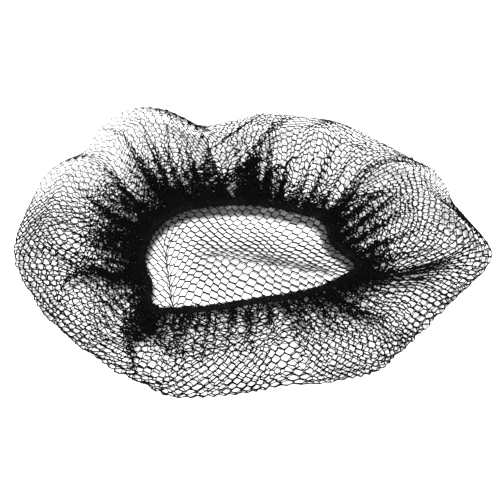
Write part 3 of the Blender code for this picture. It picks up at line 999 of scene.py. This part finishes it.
class HAIRNET_OT_elastic(bpy.types.Operator):
    """Wind the covering yarn round the elastic and raise its fuzz"""

    bl_idname = "hairnet.elastic"
    bl_label = "Elastic"

    def execute(self, context):
        settings = context.scene.hairnet_elastic
        material = brushed_cover(settings.cover, settings.worn)
        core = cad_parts["elastic_band"]
        core.data.materials.clear()
        core.data.materials.append(material)

        length = along_elastic(np.zeros(1))[3]
        turns = round(length / settings.pitch)
        place = np.linspace(0.0, 1.0, turns * TURN_POINTS, endpoint=False)
        middle, outward, up, _ = along_elastic(place)
        angle = place * turns * 2 * math.pi
        out = np.cos(angle)[:, None] * outward + np.sin(angle)[:, None] * up
        winding = middle + out * (ELASTIC_DIAMETER / 2 + YARN_SEAT * settings.yarn)
        radii = np.full((1, len(place)), settings.yarn / 2)
        self.add(yarn_mesh("elastic_covering", winding[None], out[None], radii, YARN_SIDES), material)

        generator = np.random.default_rng(SEED)
        count = settings.fuzz
        spot = generator.uniform(0.0, 1.0, count)
        angle = generator.uniform(*np.radians(FUZZ_ANGLES), count)
        height = settings.fuzz_height * generator.uniform(FUZZ_LEAST_ROOT, 1.0, count) ** 2
        reach = generator.uniform(*FUZZ_REACH_SPAN, count) * FUZZ_REACH
        twist = generator.normal(0.0, FUZZ_TWIST, count)
        share = np.linspace(0.0, 1.0, FUZZ_POINTS)
        place = spot[:, None] + (share - 0.5) * (reach / length)[:, None]
        middle, outward, up, _ = along_elastic(place)
        turn = (angle[:, None] + twist[:, None] * (share - 0.5))[..., None]
        out = np.cos(turn) * outward + np.sin(turn) * up
        rise = height[:, None] * np.sin(math.pi * share) ** FUZZ_ARCH
        loops = middle + out * (ELASTIC_DIAMETER / 2 + settings.yarn + rise - settings.filament)[..., None]
        normals = np.cross(loops[:, -1] - loops[:, 0], out[:, 2])
        normals /= np.linalg.norm(normals, axis=1, keepdims=True)
        radii = np.full(loops.shape[:2], settings.filament / 2)
        self.add(yarn_mesh("elastic_fuzz", loops, normals, radii, FUZZ_SIDES), material)
        return {"FINISHED"}

    def add(self, piece, material):
        """Give a piece its material, slot and body."""
        piece.data.materials.append(material)
        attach(piece, "root")


class HAIRNET_OT_stage(bpy.types.Operator):
    """Lay the pale floor and set the soft light and the camera"""

    bl_idname = "hairnet.stage"
    bl_label = "Stage"

    def execute(self, context):
        settings = context.scene.hairnet_stage
        bpy.ops.object.select_all(action="DESELECT")
        bpy.ops.mesh.primitive_plane_add(size=FLOOR_SIZE)
        floor = context.active_object
        floor.name = "floor"
        floor.data.materials.append(matt_paper(settings.paper, settings.pale_paper))

        world = bpy.data.worlds.new("soft white room")
        world.use_nodes = True
        background = world.node_tree.nodes["Background"]
        background.inputs["Strength"].default_value = settings.room_light
        background.inputs["Color"].default_value = linear("#ffffff")
        context.scene.world = world

        light = bpy.data.lights.new("large softbox", "SUN")
        light.energy = settings.key_strength
        light.angle = settings.key_softness
        box = bpy.data.objects.new("large softbox", light)
        box.rotation_euler = (math.pi / 2 - settings.key_height, 0.0, settings.key_side)
        context.scene.collection.objects.link(box)

        camera = bpy.data.cameras.new("camera")
        camera.lens = settings.lens
        camera.sensor_width = settings.sensor
        eye = bpy.data.objects.new("camera", camera)
        up = np.array([0.0, math.sin(settings.camera_height), math.cos(settings.camera_height)])
        back = np.array([0.0, -math.cos(settings.camera_height), math.sin(settings.camera_height)])
        target = elastic_middle() + np.array(AIM) + up * settings.camera_drop
        eye.location = target + back * settings.camera_distance
        eye.rotation_euler = (math.pi / 2 - settings.camera_height, 0.0, 0.0)
        context.scene.collection.objects.link(eye)
        context.scene.camera = eye
        context.scene.view_settings.view_transform = "Standard"
        return {"FINISHED"}


class HAIRNET_PT_panel(bpy.types.Panel):
    """Steps and sizes of the hairnet"""

    bl_idname = "HAIRNET_PT_panel"
    bl_label = "Hairnet"
    bl_space_type = "VIEW_3D"
    bl_region_type = "UI"
    bl_category = "Hairnet"

    def draw(self, context):
        for group in (context.scene.hairnet_net, context.scene.hairnet_elastic, context.scene.hairnet_stage):
            for name in group.bl_rna.properties.keys():
                if name not in {"rna_type", "name"}:
                    self.layout.prop(group, name)
        for operator in OPERATORS:
            self.layout.operator(operator.bl_idname)


OPERATORS = (HAIRNET_OT_net, HAIRNET_OT_elastic, HAIRNET_OT_stage)
CLASSES = (NetSettings, ElasticSettings, StageSettings, *OPERATORS, HAIRNET_PT_panel)


def register():
    for cls in CLASSES:
        bpy.utils.register_class(cls)
    bpy.types.Scene.hairnet_net = bpy.props.PointerProperty(type=NetSettings)
    bpy.types.Scene.hairnet_elastic = bpy.props.PointerProperty(type=ElasticSettings)
    bpy.types.Scene.hairnet_stage = bpy.props.PointerProperty(type=StageSettings)


def unregister():
    del bpy.types.Scene.hairnet_stage
    del bpy.types.Scene.hairnet_elastic
    del bpy.types.Scene.hairnet_net
    for cls in reversed(CLASSES):
        bpy.utils.unregister_class(cls)


def main():
    register()
    bpy.ops.hairnet.net()
    bpy.ops.hairnet.elastic()
    bpy.ops.hairnet.stage()


if __name__ == "__main__":
    main()
